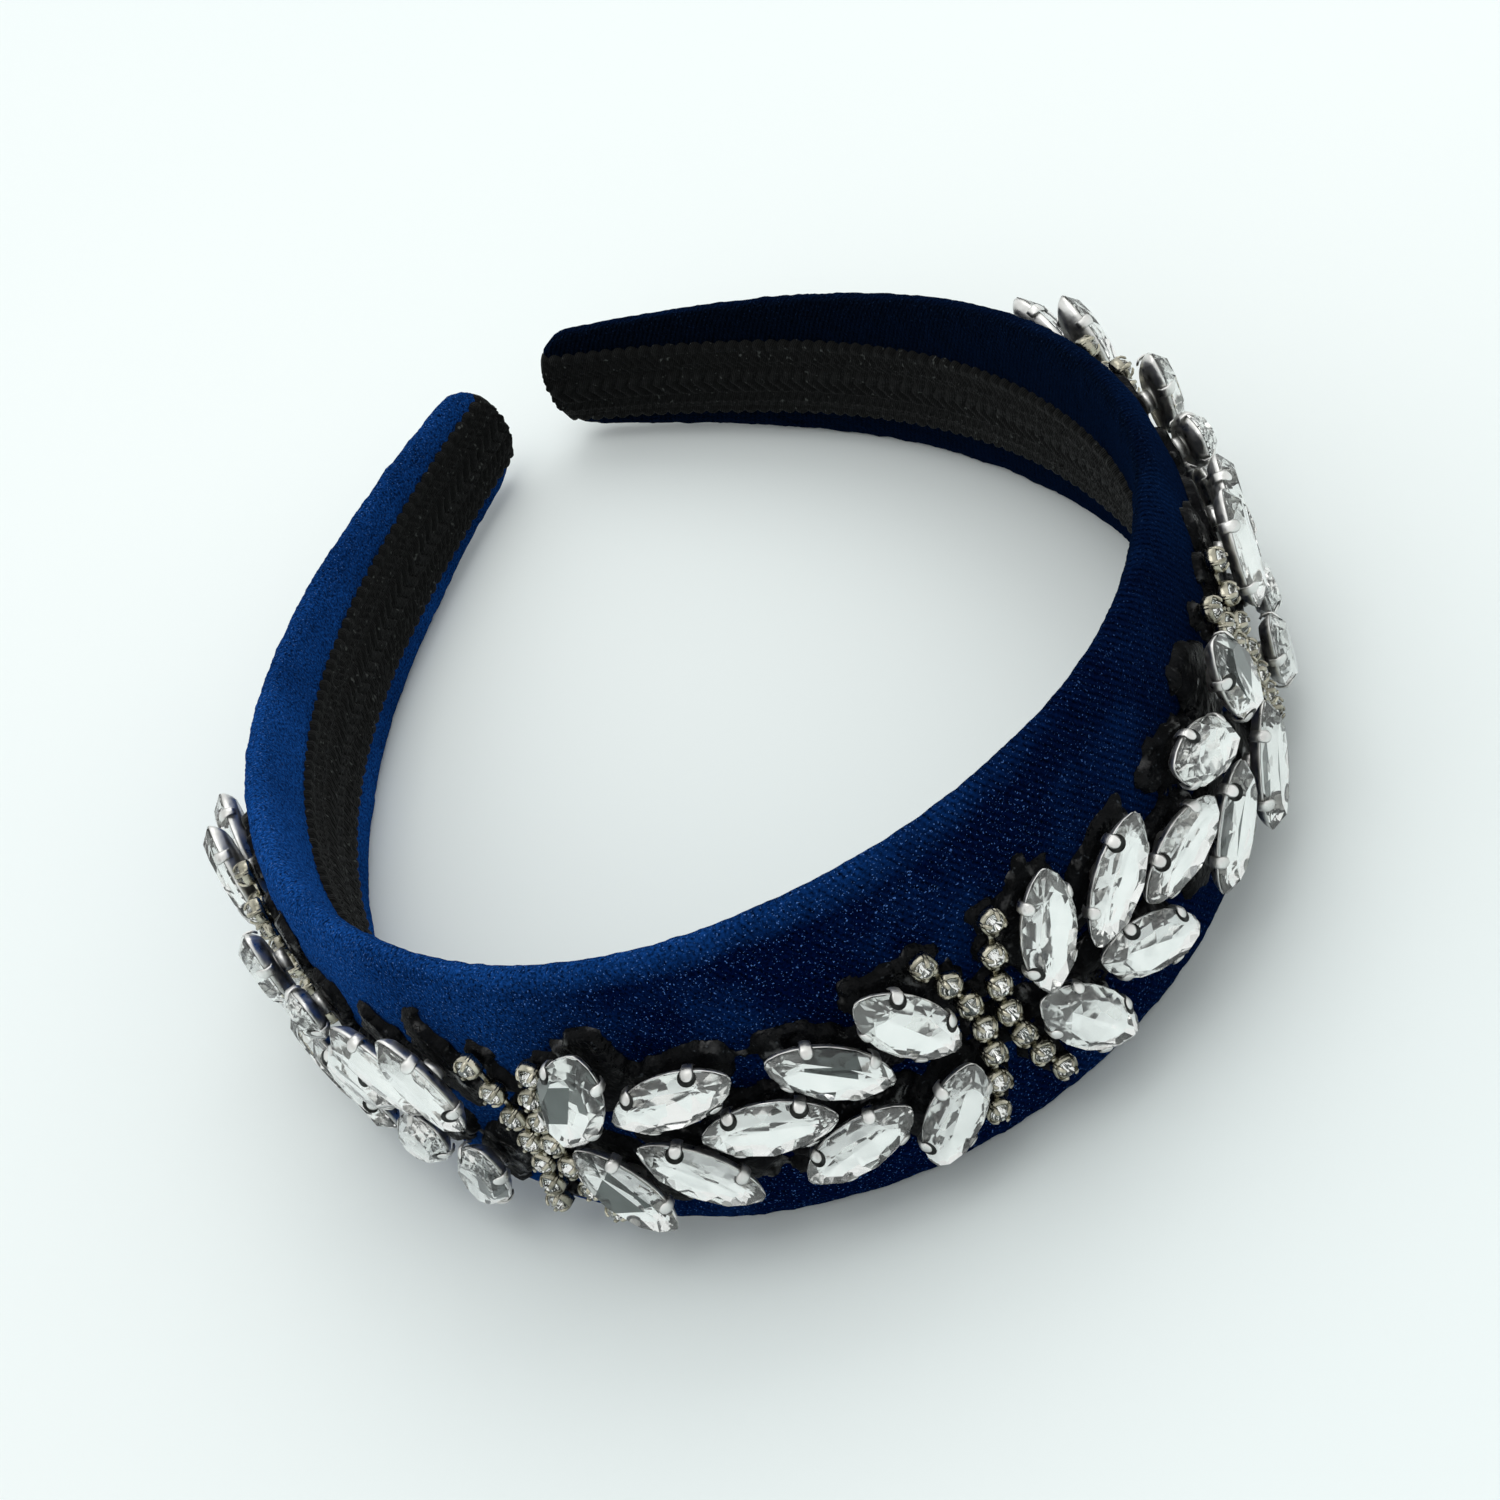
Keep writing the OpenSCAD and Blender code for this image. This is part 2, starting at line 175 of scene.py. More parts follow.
def makePiece(name, points, faces, materials, nodes, smooth=True, kinds=None, marks=None):
    mesh = bpy.data.meshes.new(name)
    mesh.from_pydata((np.asarray(points) * mm).tolist(), [], [list(map(int, face)) for face in faces])
    for material in materials:
        mesh.materials.append(material)
    mesh.polygons.foreach_set("use_smooth", [smooth] * len(mesh.polygons))
    if kinds is not None:
        mesh.polygons.foreach_set("material_index", kinds)
    for mark, values in (marks or {}).items():
        layer = mesh.attributes.new(mark, "FLOAT", "POINT")
        layer.data.foreach_set("value", np.asarray(values, np.float32).ravel())
    mesh.update()
    piece = bpy.data.objects.new(name, mesh)
    scene.collection.objects.link(piece)
    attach(piece, "root")
    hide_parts(*nodes)
    return piece


# node helpers
def addNode(tree, kind, inputs=None, **settings):
    node = tree.nodes.new(kind)
    for name, value in settings.items():
        setattr(node, name, value)
    for name, value in (inputs or {}).items():
        if isinstance(value, bpy.types.NodeSocket):
            tree.links.new(value, node.inputs[name])
        else:
            node.inputs[name].default_value = value
    return node


def calculate(tree, operation, a, b=0.0, clamp=False):
    return addNode(tree, "ShaderNodeMath", {0: a, 1: b}, operation=operation, use_clamp=clamp).outputs[0]


def mixColours(tree, share, a, b):
    node = addNode(tree, "ShaderNodeMix", {0: share, 6: a, 7: b}, data_type="RGBA")
    return node.outputs[2]


def rangeOf(tree, value, low, high, toLow=0.0, toHigh=1.0):
    node = addNode(tree, "ShaderNodeMapRange", {"Value": value, "From Min": low, "From Max": high,
                                                "To Min": toLow, "To Max": toHigh})
    return node.outputs["Result"]


def newGroup(name, inputs, output, kind="NodeSocketFloat"):
    tree = bpy.data.node_groups.new(name, "ShaderNodeTree")
    for label, start in inputs:
        socket = tree.interface.new_socket(label, in_out="INPUT", socket_type="NodeSocketFloat")
        socket.default_value = start
    tree.interface.new_socket(output, in_out="OUTPUT", socket_type=kind)
    return tree, tree.nodes.new("NodeGroupInput"), tree.nodes.new("NodeGroupOutput")


# broad and fine variation, from the place on the part
mottle, given, result = newGroup("mottle", [("Scale", 50.0), ("Low", 0.0), ("High", 1.0)], "Value")
place = addNode(mottle, "ShaderNodeTexCoord").outputs["Object"]
cloud = addNode(mottle, "ShaderNodeTexNoise", {
    "Vector": place, "Scale": given.outputs["Scale"], "Detail": 3.0})
spread = addNode(mottle, "ShaderNodeMapRange", {
    "Value": cloud.outputs["Fac"], "From Min": 0.3, "From Max": 0.7,
    "To Min": given.outputs["Low"], "To Max": given.outputs["High"]})
mottle.links.new(spread.outputs["Result"], result.inputs["Value"])

# small scattered specks: pale lint and fibres on the braid and felt, and painted glints of the pile on the
# velvet
specks, given, result = newGroup("specks", [("Scale", 3000.0), ("Share", 0.1)], "Mask")
place = addNode(specks, "ShaderNodeTexCoord").outputs["Object"]
grain = addNode(specks, "ShaderNodeTexNoise", {
    "Vector": place, "Scale": given.outputs["Scale"], "Detail": 1.0})
edge = calculate(specks, "SUBTRACT", 0.75, given.outputs["Share"])
above = calculate(specks, "SUBTRACT", grain.outputs["Fac"], edge)
mask = calculate(specks, "MULTIPLY", above, 14.0, clamp=True)
specks.links.new(mask, result.inputs["Mask"])

# rows of ribs or threads that cross the band, from the run along it and the height up it
ribs, given, result = newGroup("ribs", [("Pitch", 0.8), ("Slant", 0.0)], "Height")
run = addNode(ribs, "ShaderNodeAttribute", attribute_name="along").outputs["Fac"]
height = addNode(ribs, "ShaderNodeAttribute", attribute_name="upward").outputs["Fac"]
leant = calculate(ribs, "ADD", run, calculate(ribs, "MULTIPLY", height, given.outputs["Slant"]))
turns = calculate(ribs, "DIVIDE", leant, given.outputs["Pitch"])
wave = calculate(ribs, "SINE", calculate(ribs, "MULTIPLY", turns, 2 * math.pi))
ribs.links.new(rangeOf(ribs, wave, -1.0, 1.0), result.inputs["Height"])


# small flat shards, each leaning its own way, as light breaks up inside cut glass
shards, given, result = newGroup("shards", [("Scale", 700.0), ("Lean", 0.2)], "Normal", "NodeSocketVector")
place = addNode(shards, "ShaderNodeTexCoord").outputs["Object"]
cells = addNode(shards, "ShaderNodeTexVoronoi", {"Vector": place, "Scale": given.outputs["Scale"]})
centred = addNode(shards, "ShaderNodeVectorMath", {0: cells.outputs["Color"], 1: (0.5, 0.5, 0.5)},
                  operation="SUBTRACT")
leaning = addNode(shards, "ShaderNodeVectorMath", {0: centred.outputs[0], "Scale": given.outputs["Lean"]},
                  operation="SCALE")
facing = addNode(shards, "ShaderNodeNewGeometry").outputs["Normal"]
added = addNode(shards, "ShaderNodeVectorMath", {0: facing, 1: leaning.outputs[0]}, operation="ADD")
unit = addNode(shards, "ShaderNodeVectorMath", {0: added.outputs[0]}, operation="NORMALIZE")
shards.links.new(unit.outputs[0], result.inputs["Normal"])


def useGroup(tree, group, **inputs):
    node = addNode(tree, "ShaderNodeGroup", node_tree=group)
    for name, value in inputs.items():
        node.inputs[name].default_value = value
    return node.outputs[0]


def newMaterial(name, **constants):
    material = bpy.data.materials.new(name)
    material.use_nodes = True
    tree = material.node_tree
    shader = tree.nodes["Principled BSDF"]
    for label, value in constants.items():
        shader.inputs[label.replace("_", " ")].default_value = value
    return material, tree, shader


def velvetMaterial(look):
    material, tree, shader = newMaterial(
        "velvet", Sheen_Weight=look["sheen"], Sheen_Roughness=look["sheenRough"],
        Sheen_Tint=look["sheenTint"], Specular_IOR_Level=0.0)
    run = addNode(tree, "ShaderNodeAttribute", attribute_name="along").outputs["Fac"]
    height = addNode(tree, "ShaderNodeAttribute", attribute_name="upward").outputs["Fac"]
    inward = addNode(tree, "ShaderNodeAttribute", attribute_name="inward").outputs["Fac"]
    # painted light: the left arm, which faces the light, is painted a lighter royal blue, and so is a painted
    # sheen along the upper edge beside it
    paintedLitArm = rangeOf(tree, run, *look["paintedLitArm"])
    paintedLitArm = calculate(tree, "MULTIPLY", paintedLitArm, rangeOf(tree, run, *look["armDims"]))
    # the painted sheen along the upper edge, fading toward the right
    edge = calculate(tree, "MULTIPLY", rangeOf(tree, height, *look["edge"]),
                     rangeOf(tree, run, *look["edgeFades"]))
    cloudy = useGroup(tree, mottle, Scale=look["mottleScale"], Low=-0.2, High=0.2)
    share = calculate(tree, "ADD", calculate(tree, "ADD", paintedLitArm, edge, clamp=True), cloudy, clamp=True)
    ground = mixColours(tree, share, look["navy"], look["paintedLitRoyal"])
    # painted shade: the right arm and the right inner face, which face away from the light, are painted a
    # near-black navy
    shaded = calculate(tree, "ADD", rangeOf(tree, run, *look["shaded"]),
                       calculate(tree, "MULTIPLY", inward, rangeOf(tree, run, *look["shadedInside"])),
                       clamp=True)
    ground = mixColours(tree, shaded, ground, look["paintedShadeNavy"])
    rib = calculate(tree, "MULTIPLY", useGroup(tree, ribs, Pitch=look["ribPitch"], Slant=look["ribSlant"]),
                    rangeOf(tree, run, *look["ribbed"]))
    grain = useGroup(tree, mottle, Scale=look["pileScale"], Low=0.1, High=1.7)
    value = calculate(tree, "ADD", grain, calculate(tree, "MULTIPLY", rib, look["ribGain"]))
    pile = addNode(tree, "ShaderNodeHueSaturation", {"Value": value, "Color": ground}).outputs["Color"]
    shine = useGroup(tree, specks, Scale=look["speckScale"], Share=look["speckShare"])
    # the painted glints of the pile fade on the right side and on the inner face, which lie in shade
    shine = calculate(tree, "MULTIPLY", shine, rangeOf(tree, run, *look["sparkle"]))
    shine = calculate(tree, "MULTIPLY", shine, rangeOf(tree, inward, *look["sparkleInside"]))
    tree.links.new(mixColours(tree, shine, pile, look["paintedGlint"]), shader.inputs["Base Color"])
    rough = useGroup(tree, mottle, Scale=look["mottleScale"] * 4, Low=0.75, High=0.95)
    tree.links.new(rough, shader.inputs["Roughness"])
    relief = calculate(tree, "ADD", calculate(tree, "MULTIPLY", rib, look["ribRelief"]), grain)
    bump = addNode(tree, "ShaderNodeBump", {"Strength": look["bump"], "Distance": 0.0002, "Height": relief})
    tree.links.new(bump.outputs["Normal"], shader.inputs["Normal"])
    return material


# a range goes from one place to another, in millimetres along the band or up it, and then
# gives the shares at its two ends, which are 0 and 1 where it doesn't say
velvetLook = dict(
    navy=(0.0002, 0.0022, 0.017, 1),
    paintedLitRoyal=(0.006, 0.048, 0.205, 1),
    paintedShadeNavy=(0.0006, 0.0014, 0.0032, 1),
    paintedGlint=(0.07, 0.16, 0.42, 1),
    sheen=0.05,
    sheenRough=0.35,
    sheenTint=(0.05, 0.25, 1.0, 1),
    # where the left arm is painted lit, the upper edge painted with a sheen, and the right arm and inner face
    # painted in shade
    paintedLitArm=(-25.0, -78.0),
    armDims=(-150.0, -95.0, 0.6, 1.0),
    edge=(18.0, 21.4),
    edgeFades=(40.0, -30.0, 0.0, 0.7),
    shaded=(-15.0, 60.0, 0.0, 0.85),
    shadedInside=(-80.0, 40.0),
    ribbed=(-40.0, 30.0),
    # where the painted glints show
    sparkle=(0.0, 45.0, 1.0, 0.12),
    sparkleInside=(0.2, 0.8, 1.0, 0.25),   # from the share that a place faces inward
    mottleScale=60.0,
    speckScale=4200.0,
    speckShare=0.09,
    pileScale=3200.0,
    ribPitch=0.8,
    ribSlant=0.6,
    ribGain=1.4,
    ribRelief=0.3,
    bump=0.5)


def bandSection(run, columns):
    angle = np.linspace(0, 2 * np.pi, columns, endpoint=False)
    def rolled(v):
        return np.abs(v) ** band["roll"]
    run = run[:, None]
    outer = np.where(np.cos(angle) > 0, fullness(run), -1)
    depth = padAt(run) / 2 * (1 + outer * rolled(np.cos(angle)))
    height = halfHeight(run) * fullness(run) * np.sign(np.sin(angle)) * rolled(np.sin(angle))
    inward = np.clip(-np.cos(angle), 0, 1) * np.ones_like(run)
    return depth, height, inward


def makeVelvet(shape):
    full = halfRun - band["endRound"]
    middle = np.linspace(-full, full, shape["rings"])
    tip = full + band["endRound"] * np.sin(np.radians(np.linspace(6, 90, shape["tipRings"])))
    run = np.concatenate([-tip[::-1], middle, tip])
    depth, height, inward = bandSection(run, shape["columns"])
    points = onBand(run[:, None], depth, height)
    normals = gridNormals(points, True)
    fuzz = softNoise(depth.shape, 1, 3) * shape["fuzz"] + softNoise(depth.shape, 9, 4) * shape["dimple"]
    points = points + normals * fuzz[..., None]
    # each end is closed by a shallow dome
    rows = [points]
    marks = [np.stack([np.broadcast_to(run[:, None], depth.shape), height, inward], -1)]
    for end in (0, -1):
        ring = points[end]
        middlePoint = ring.mean(0)
        outward = ring.mean(0) - points[1 if end == 0 else -2].mean(0)
        outward = outward / np.linalg.norm(outward)
        dome = []
        for share in (0.86, 0.6, 0.25, 0.02):
            dome.append(middlePoint + (ring - middlePoint) * share
                        + outward * shape["dome"] * math.sqrt(1 - share * share))
        extra = np.stack(dome[::-1] if end == 0 else dome)
        mark = np.repeat(marks[0][end][None] if end == 0 else marks[-1][end][None], len(extra), 0)
        rows = [extra] + rows if end == 0 else rows + [extra]
        marks = [mark] + marks if end == 0 else marks + [mark]
    points = np.concatenate(rows)
    marks = np.concatenate(marks)
    count, columns = points.shape[:2]
    faces = gridFaces(count, columns, True).tolist()
    faces.append(list(range(columns)))
    faces.append([(count - 1) * columns + k for k in range(columns)][::-1])
    return points.reshape(-1, 3), faces, dict(
        along=marks[..., 0], upward=marks[..., 1], inward=marks[..., 2])


velvetShape = dict(rings=600, tipRings=9, columns=124, fuzz=0.05, dimple=0.05, dome=0.5)
points, faces, marks = makeVelvet(velvetShape)
velvet = makePiece("padded_velvet_band", points, faces, [velvetMaterial(velvetLook)],
                   ["velvet_band"], marks=marks)
print("velvet band done")


def braidMaterial(look):
    material, tree, shader = newMaterial("braid", Sheen_Weight=look["sheen"], Sheen_Roughness=0.5,
                                         Specular_IOR_Level=0.08)
    tone = useGroup(tree, mottle, Scale=look["threadScale"], Low=0.0, High=1.0)
    lint = useGroup(tree, specks, Scale=look["lintScale"], Share=look["lintShare"])
    ground = mixColours(tree, tone, look["dark"], look["pale"])
    tree.links.new(mixColours(tree, lint, ground, look["lint"]), shader.inputs["Base Color"])
    rough = useGroup(tree, mottle, Scale=look["threadScale"], Low=0.55, High=0.85)
    tree.links.new(rough, shader.inputs["Roughness"])
    thread = useGroup(tree, ribs, Pitch=look["threadPitch"], Slant=look["threadSlant"])
    fine = useGroup(tree, mottle, Scale=look["threadScale"] * 2, Low=0.0, High=0.6)
    bump = addNode(tree, "ShaderNodeBump", {"Strength": 0.6, "Distance": 0.00015,
                                            "Height": calculate(tree, "ADD", thread, fine)})
    tree.links.new(bump.outputs["Normal"], shader.inputs["Normal"])
    return material


braidLook = dict(
    dark=(0.0006, 0.0008, 0.0008, 1),
    pale=(0.0055, 0.0062, 0.006, 1),
    lint=(0.05, 0.055, 0.052, 1),
    sheen=0.01,
    threadScale=1500.0,
    lintScale=1300.0,
    lintShare=0.06,
    threadPitch=0.36,
    threadSlant=0.6)


def makeBraid(shape):
    length = halfRun + shape["past"]
    run = np.linspace(-length, length, shape["rows"])[:, None]
    v = np.linspace(-1, 1, shape["columns"])[None, :]
    braidHalf = (shape["crown"] + (shape["end"] - shape["crown"]) * np.minimum(np.abs(run) / halfRun, 1)) / 2
    tip = halfHeight(run) * fullness(run) * 0.97
    braidHalf = np.minimum(braidHalf, tip)
    # the picots stand out along both edges
    phase = run / shape["picotPitch"] * math.pi
    picot = np.abs(np.sin(phase)) ** 0.7
    half = braidHalf + shape["picot"] * (picot - 0.6)
    height = v * half
    away = np.abs(height)
    # two rows of slanted strands meet in the middle, with corded rows beside them
    strand = np.abs(np.sin(math.pi * (run + away * shape["slope"]) / shape["strandPitch"])) ** 0.8
    crossing = np.abs(np.sin(math.pi * (run - away * shape["slope"]) / shape["cordPitch"])) ** 0.8
    share = away / braidHalf
    middle = np.clip((shape["middleTo"] - share) / shape["blend"], 0, 1)
    edge = np.clip((share - shape["edgeFrom"]) / shape["blend"], 0, 1)
    relief = strand * middle + crossing * shape["cordHigh"] * (1 - middle) * (1 - edge)
    relief = relief + edge * picot * shape["picotHigh"]
    groove = sum(np.exp(-((share - place) / shape["grooveWide"]) ** 2) for place in shape["grooves"])
    dots = np.abs(np.sin(math.pi * run / shape["dotPitch"]))
    dots = dots * np.exp(-((share - shape["dotRow"]) / shape["dotWide"]) ** 2)
    relief = relief * (1 - shape["grooveDeep"] * groove) + dots * shape["dotHigh"]
    relief = relief + softNoise(relief.shape, 1, 8) * shape["uneven"]
    border = np.clip((1 - np.abs(v)) / shape["blend"], 0, 1)
    thick = shape["ground"] + shape["relief"] * relief
    lift = np.where(np.abs(v) > 0.999, shape["foot"], shape["foot"] + thick * border ** 0.5)
    depth = faceDepth(run, np.clip(height, -tip, tip), False) - lift
    points = onBand(run, depth, height)
    faces = gridFaces(shape["rows"], shape["columns"], False)
    marks = dict(along=np.broadcast_to(run, height.shape), upward=height)
    return points.reshape(-1, 3), faces, marks


braidShape = dict(
    rows=1240,
    columns=56,
    past=0.2,
    crown=16.4,
    end=11.2,
    picotPitch=2.15,
    picot=0.55,
    slope=0.9,
    strandPitch=2.15,
    cordPitch=1.4,
    dotPitch=1.07,
    # places across the braid, as shares of its half width
    middleTo=0.34,
    edgeFrom=0.8,
    blend=0.06,
    grooves=(0.37, 0.77),
    grooveWide=0.035,
    dotRow=0.56,
    dotWide=0.05,
    # heights of the cords, picots, grooves and dots, as shares of the relief
    cordHigh=0.55,
    picotHigh=0.7,
    grooveDeep=0.6,
    dotHigh=0.6,
    uneven=0.07,
    foot=0.05,
    ground=0.45,
    relief=0.5)
points, faces, marks = makeBraid(braidShape)
braid = makePiece("herringbone_braid", points, faces[:, ::-1], [braidMaterial(braidLook)],
                  ["lining_braid"], marks=marks)
print("braid done")


# the places of the stones come from the frame's own solids
def looseParts(node):
    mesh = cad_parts[node].data
    places = np.empty(len(mesh.vertices) * 3, np.float32)
    mesh.vertices.foreach_get("co", places)
    places, back = np.unique(np.round(places.reshape(-1, 3) / mm, 3), axis=0, return_inverse=True)
    edges = np.empty(len(mesh.edges) * 2, np.int32)
    mesh.edges.foreach_get("vertices", edges)
    edges = back.ravel()[edges].reshape(-1, 2)
    label = np.arange(len(places))
    while True:
        low = np.minimum(label[edges[:, 0]], label[edges[:, 1]])
        lower = label.copy()
        np.minimum.at(lower, edges[:, 0], low)
        np.minimum.at(lower, edges[:, 1], low)
        lower = lower[lower]
        if (lower == label).all():
            break
        label = lower
    return [places[label == one] for one in np.unique(label)]


# the outline of a cut stone and its cup is this much longer and wider than the frame's stone
mouth = 0.6


def leafPlace(points):
    # a leaf stone's girdle middle and its long, wide and outward directions
    middle = points.mean(0)
    out, wide, long = np.linalg.eigh((points - middle).T @ (points - middle))[1].T
    along = (points - middle) @ long
    tips = points[np.abs(along) > along.max() * 0.98]
    middle = tips.mean(0)
    above = (points - middle) @ out
    if above.max() < -above.min():
        out = -out
    wide = np.cross(out, long)
    across = (points - middle) @ wide
    return dict(middle=middle, axes=np.stack([long, wide, out]),
                long=float(along.max() - along.min()) + mouth,
                wide=float(across.max() - across.min()) + mouth)


# the round stones were set a little askew
askewTurns = np.random.default_rng(5)


def roundPlace(points):
    middle = points.mean(0)
    out = np.linalg.eigh((points - middle).T @ (points - middle))[1][:, 2]
    beside = (points - middle) - ((points - middle) @ out)[:, None] * out
    far = np.linalg.norm(beside, axis=1)
    middle = points[far > far.max() * 0.95].mean(0)
    above = (points - middle) @ out
    if above.max() > -above.min():
        out = -out
    long = np.cross(np.array([0.0, 0.0, 1.0]), out)
    long = long / np.linalg.norm(long)
    wide = np.cross(out, long)
    askew = math.radians(askewTurns.uniform(-25, 25))
    turned = long * math.cos(askew) + wide * math.sin(askew)
    return dict(middle=middle, axes=np.stack([turned, np.cross(out, turned), out]), wide=float(2 * far.max()))


def placed(points, place):
    return np.asarray(points) @ place["axes"] + place["middle"]


sprayNames = ["left_sprig", "left_arm", "left_crown", "right_crown", "right_arm", "right_sprig"]
leafPlaces = {}
for spray in sprayNames:
    if spray.endswith("sprig"):
        leafPlaces[spray] = {spray: [leafPlace(part) for part in looseParts(spray)]}
    else:
        names = [f"{spray}_leaf_{number}" for number in range(1, 10)]
        leafPlaces[spray] = {name: [leafPlace(looseParts(name)[0])] for name in names}
chainNames = [f"chain_{number}" for number in range(1, 11)]
mostStonePoints = 40
roundPlaces = {name: [roundPlace(part) for part in looseParts(name) if len(part) < mostStonePoints]
               for name in chainNames}
print("stones found:", sum(len(v) for s in leafPlaces.values() for v in s.values()), "leaves and",
      sum(len(v) for v in roundPlaces.values()), "rounds")


def flatPlace(place):
    # the run along the band and the height up it of a place in space, by the nearest square-on ray
    runs = np.linspace(-halfRun, halfRun, 3000)
    x, y, facing = walkAlong(runs)
    side = np.where(runs < 0, -1.0, 1.0)
    offX = place["middle"][0] - side * x
    offY = place["middle"][1] - (y - planMiddle)
    aside = offX * np.cos(facing) * side + offY * np.sin(facing)
    depth = offX * np.sin(facing) * side - offY * np.cos(facing)
    cost = np.abs(aside) + np.where((depth > 0) & (depth < 25), 0, 1e3)
    best = int(cost.argmin())
    run = runs[best]
    # the run grows to the right, so the left side's own direction is turned round
    way = np.array([np.cos(facing[best]), np.sin(facing[best]) * side[best], 0.0])
    lean = math.atan2(place["axes"][0][2], float(place["axes"][0] @ way))
    return run, place["middle"][2] - float(middleHeight(np.array([run]))[0]), lean


def feltMaterial(look):
    material, tree, shader = newMaterial("felt", Coat_Roughness=0.08, Specular_IOR_Level=0.08)
    tone = useGroup(tree, mottle, Scale=look["toneScale"], Low=0.0, High=1.0)
    fibre = useGroup(tree, specks, Scale=look["fibreScale"], Share=look["fibreShare"])
    ground = mixColours(tree, tone, look["dark"], look["pale"])
    tree.links.new(mixColours(tree, fibre, ground, look["fibre"]), shader.inputs["Base Color"])
    # smears of dried glue shine on the felt
    rough = useGroup(tree, mottle, Scale=look["glueScale"], Low=0.12, High=0.9)
    tree.links.new(rough, shader.inputs["Roughness"])
    glue = useGroup(tree, mottle, Scale=look["glueScale"] * 1.7, Low=-2.2, High=1.0)
    tree.links.new(calculate(tree, "MAXIMUM", glue, 0.0), shader.inputs["Coat Weight"])
    pile = useGroup(tree, mottle, Scale=look["pileScale"], Low=0.0, High=1.0)
    bump = addNode(tree, "ShaderNodeBump", {"Strength": 0.8, "Distance": 0.0003, "Height": pile})
    tree.links.new(bump.outputs["Normal"], shader.inputs["Normal"])
    return material


feltLook = dict(
    dark=(0.0008, 0.001, 0.0013, 1),
    pale=(0.004, 0.0045, 0.0055, 1),
    fibre=(0.03, 0.035, 0.04, 1),
    toneScale=500.0,
    fibreScale=1800.0,
    fibreShare=0.06,
    glueScale=260.0,
    pileScale=900.0)


def makeFelt(shape):
    ellipses = []
    for spray in leafPlaces.values():
        for places in spray.values():
            for place in places:
                run, height, lean = flatPlace(place)
                ellipses.append((run, height + shape["raised"], lean, place["long"] / 2 + shape["tipMargin"],
                                 place["wide"] / 2 + shape["margin"]))
    for places in roundPlaces.values():
        for place in places:
            run, height, lean = flatPlace(place)
            ellipses.append((run, height + shape["raised"], 0.0, shape["roundReach"], shape["roundReach"]))
    lowRun = min(one[0] for one in ellipses) - shape["room"]
    highRun = max(one[0] for one in ellipses) + shape["room"]
    runs = np.arange(lowRun, highRun, shape["cell"])
    heights = np.arange(-shape["reach"], shape["reach"], shape["cell"])
    run, height = np.meshgrid(runs, heights, indexing="ij")
    inside = np.full(run.shape, -shape["farOut"])
    for atRun, atHeight, lean, long, wide in ellipses:
        across = np.cos(lean) * (run - atRun) + np.sin(lean) * (height - atHeight)
        beside = -np.sin(lean) * (run - atRun) + np.cos(lean) * (height - atHeight)
        away = np.sqrt((across / long) ** 2 + (beside / wide) ** 2)
        inside = np.maximum(inside, (1 - away) * wide)
    inside = inside + softNoise(run.shape, 3, 12) * shape["ragged"]
    inside = np.minimum(inside, (halfHeight(run) - shape["edgeClear"] - np.abs(height)))
    kept = inside > 0
    # each outer corner of the edge's cells is pulled in to where the edge runs
    flat = np.stack([run, height], -1)
    moved = flat.copy()
    near = np.zeros_like(kept)
    bestInside = np.zeros(run.shape)
    for a in (-1, 0, 1):
        for b in (-1, 0, 1):
            if a == 0 and b == 0:
                continue
            other = np.roll(inside, (a, b), (0, 1))
            otherPlace = np.roll(flat, (a, b), (0, 1))
            better = (~kept) & (other > bestInside)
            t = other / np.maximum(other - inside, 1e-6)
            moved = np.where(better[..., None], otherPlace + (flat - otherPlace) * t[..., None], moved)
            bestInside = np.where(better, other, bestInside)
            near |= better
    used = kept | near
    thick = shape["foot"] + shape["thick"] * np.clip(inside / shape["bevel"], 0, 1) ** 0.6
    thick = np.where(kept, thick, shape["foot"])
    thick = thick + np.where(kept, softNoise(run.shape, 2, 13) * shape["bumpy"], 0)
    depth = faceDepth(moved[..., 0], moved[..., 1], True) + thick
    points = onBand(moved[..., 0], depth, moved[..., 1]).reshape(-1, 3)
    faces = gridFaces(len(runs), len(heights), False)
    usable = used.ravel()[faces].all(1) & kept.ravel()[faces].any(1)
    faces = faces[usable]
    order, back = np.unique(faces, return_inverse=True)
    faces = back.reshape(-1, 4)
    marks = dict(along=moved[..., 0].ravel()[order], upward=moved[..., 1].ravel()[order])
    return points[order], faces, marks, int(usable.sum()) * shape["cell"] ** 2, highRun - lowRun


feltShape = dict(
    cell=0.45,
    room=10,          # past the outermost stones' middles, at each end of the grid
    reach=20,
    farOut=9.0,
    edgeClear=1.2,    # from the band's own edge
    margin=-0.1,
    tipMargin=-0.3,
    roundReach=1.75,
    raised=-0.5,
    ragged=0.32,
    bevel=0.5,
    thick=1.05,
    foot=0.05,
    bumpy=0.05)
points, faces, marks, feltArea, feltLength = makeFelt(feltShape)
felt = makePiece("backing_felt_cut", points, faces, [feltMaterial(feltLook)], ["backing_felt"],
                 marks=marks)
print("felt done, square millimetres:", round(feltArea))


def glassMaterial(look):
    material, tree, shader = newMaterial("crystal", IOR=look["ior"], Transmission_Weight=1.0)
    tint = useGroup(tree, mottle, Scale=look["tintScale"], Low=0.0, High=1.0)
    tree.links.new(mixColours(tree, tint, look["clear"], look["grey"]), shader.inputs["Base Color"])
    rough = useGroup(tree, mottle, Scale=look["roughScale"], Low=0.0, High=look["rough"])
    tree.links.new(rough, shader.inputs["Roughness"])
    return material


def foilMaterial(name, look):
    material, tree, shader = newMaterial(name, Metallic=look["metallic"])
    tint = useGroup(tree, mottle, Scale=look["tintScale"], Low=0.0, High=1.0)
    tree.links.new(mixColours(tree, tint, look["bright"], look["dull"]), shader.inputs["Base Color"])
    rough = useGroup(tree, mottle, Scale=look["roughScale"], Low=0.03, High=0.12)
    tree.links.new(rough, shader.inputs["Roughness"])
    lean = useGroup(tree, shards, Scale=look["shardScale"], Lean=look["lean"])
    tree.links.new(lean, shader.inputs["Normal"])
    return material


